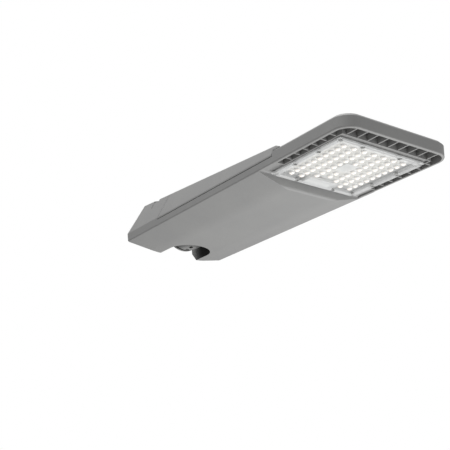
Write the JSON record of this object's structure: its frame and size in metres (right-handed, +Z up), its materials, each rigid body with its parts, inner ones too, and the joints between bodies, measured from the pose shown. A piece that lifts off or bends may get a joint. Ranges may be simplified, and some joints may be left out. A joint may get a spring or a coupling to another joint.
{
  "type": "led street light head",
  "caption": "Flat LED street light head with a hinged gear lid, a finned optic end under a domed lens cover, and a tilting clamp socket for a pole in the notch of its rear end.",
  "frame": {"origin": "centre of the pole socket's mouth, on the socket's axis", "axes": "+X from the socket to the nose of the head, +Z up, +Y to the head's left side"},
  "size_m": [0.659, 0.218, 0.0976],
  "materials": {
    "body_paint": "light grey powder coat on die-cast aluminium",
    "stainless": "plain stainless steel",
    "black_steel": "blackened steel",
    "rubber": "black silicone rubber",
    "black_plastic": "black polyamide",
    "ivory_plastic": "ivory polyamide",
    "lens_clear": "clear moulded polycarbonate",
    "board_white": "white solder mask on aluminium board",
    "phosphor": "pale yellow LED packages",
    "thermal_pad": "grey thermal pad",
    "zinc_sheet": "zinc-plated sheet steel",
    "driver_case": "satin extruded case, potted",
    "surge_case": "potted grey case",
    "lead_sheath": "insulated wire"
  },
  "bodies": {
    "housing": {"housing": "body_paint", "lid_gasket": "rubber", "cover_gasket": "rubber", "gland_seal": "rubber", "lead_grommet": "rubber", "cover_screws": "stainless", "board_screws": "stainless", "tray_screws": "stainless", "driver_screws": "stainless", "surge_screw": "stainless", "terminal_screws": "stainless", "cord_clamp_screws": "stainless", "lens_cover": "lens_clear", "led_board": "board_white", "leds": "phosphor", "thermal_pad": "thermal_pad", "board_connector": "black_plastic", "terminal_block": "ivory_plastic", "cord_clamp_base": "black_plastic", "cord_clamp_bar": "black_plastic", "gland_body": "black_plastic", "gland_cap": "black_plastic", "breather_vent": "black_plastic", "gear_tray": "zinc_sheet", "driver": "driver_case", "surge_protector": "surge_case", "input_leads": "lead_sheath", "output_leads": "lead_sheath", "surge_leads": "lead_sheath"},
    "lid": {"lid": "body_paint", "hinge_pins": "stainless", "lid_screws": "stainless"},
    "socket": {"pole_socket": "body_paint", "pivot_bolts": "stainless", "pivot_washers": "stainless", "set_screws": "black_steel", "socket_ring": "rubber"}
  },
  "joints": [
    {"name": "lid_hinge", "type": "hinge", "parent": "housing", "child": "lid", "pos_m": [0.0825, 0, 0.0395], "axis": [0, -1, 0], "range_deg": [0, 75]},
    {"name": "socket_tilt", "type": "hinge", "parent": "housing", "child": "socket", "pos_m": [0.024, 0, 0], "axis": [0, -1, 0], "range_deg": [0, 90]}
  ]
}
